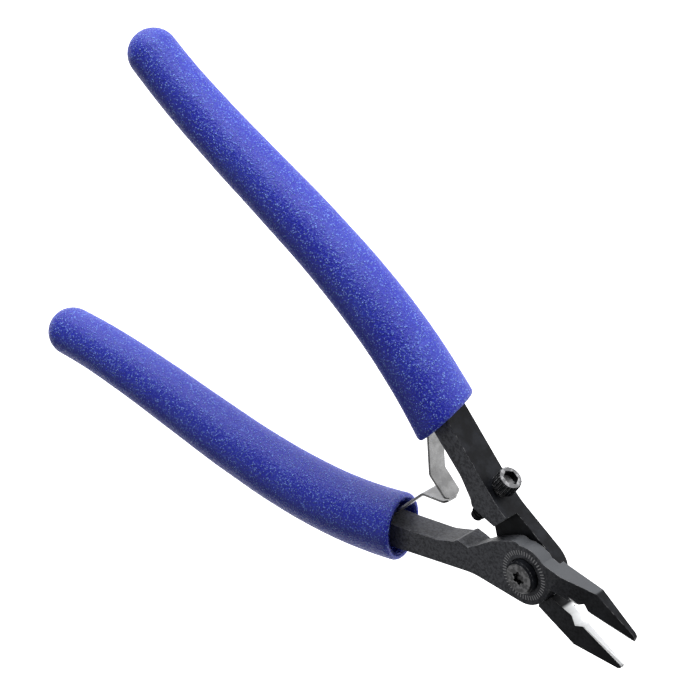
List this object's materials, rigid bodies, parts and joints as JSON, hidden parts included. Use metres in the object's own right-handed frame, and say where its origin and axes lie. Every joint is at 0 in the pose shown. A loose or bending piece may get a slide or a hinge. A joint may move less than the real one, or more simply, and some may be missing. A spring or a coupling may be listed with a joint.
{
  "type": "flush cutter",
  "caption": "Black steel flush cutter with blue foam grips, V-notched jaws, facing leaf springs and an adjustable stop screw.",
  "frame": {"origin": "pivot axis at the back face of the lap joint", "axes": "+X to the jaw tips, +Y to the handle with the stop screw, +Z along the pivot to its screw head"},
  "size_m": [0.1403, 0.0804, 0.0127],
  "materials": {
    "black_steel": "satin",
    "screw_steel": "satin",
    "spring_steel": "satin",
    "nylon": "matte",
    "foam": "matte"
  },
  "bodies": {
    "rear_lever": {"rear_lever": "black_steel", "pivot_screw": "screw_steel", "upper_spring_root": "spring_steel", "upper_spring_rivet": "spring_steel", "upper_grip": "foam"},
    "front_lever": {"front_lever": "black_steel", "lower_spring_root": "spring_steel", "lower_spring_rivet": "spring_steel", "lower_grip": "foam"},
    "upper_leaf": {"upper_spring_leaf": "spring_steel"},
    "lower_leaf": {"lower_spring_leaf": "spring_steel"},
    "stop_screw": {"stop_screw": "screw_steel", "stop_screw_lock_pellet": "nylon"}
  },
  "joints": [
    {"name": "pivot", "type": "hinge", "parent": "rear_lever", "child": "front_lever", "pos_m": [0, 0, 0.00285], "axis": [0, 0, -1], "range_deg": [0, 14.6], "stiffness_Nm_per_rad": 0.6, "springref_deg": -11.46},
    {"name": "upper_leaf", "type": "hinge", "parent": "rear_lever", "child": "upper_leaf", "pos_m": [-0.03045, 0.0133, 0.00285], "axis": [0, 0, 1], "range_deg": [0, 12.8]},
    {"name": "lower_leaf", "type": "hinge", "parent": "front_lever", "child": "lower_leaf", "pos_m": [-0.03045, -0.0133, 0.00285], "axis": [0, 0, -1], "range_deg": [0, 12.8]},
    {"name": "stop_adjust", "type": "slide", "parent": "rear_lever", "child": "stop_screw", "axis": [-0.2571, -0.9664, 0], "range_m": [-0.0015, 0.0004]}
  ],
  "couplings": [
    {"joint": "upper_leaf", "follows": "pivot", "ratio": 0.86},
    {"joint": "lower_leaf", "follows": "pivot", "ratio": 0.86}
  ]
}
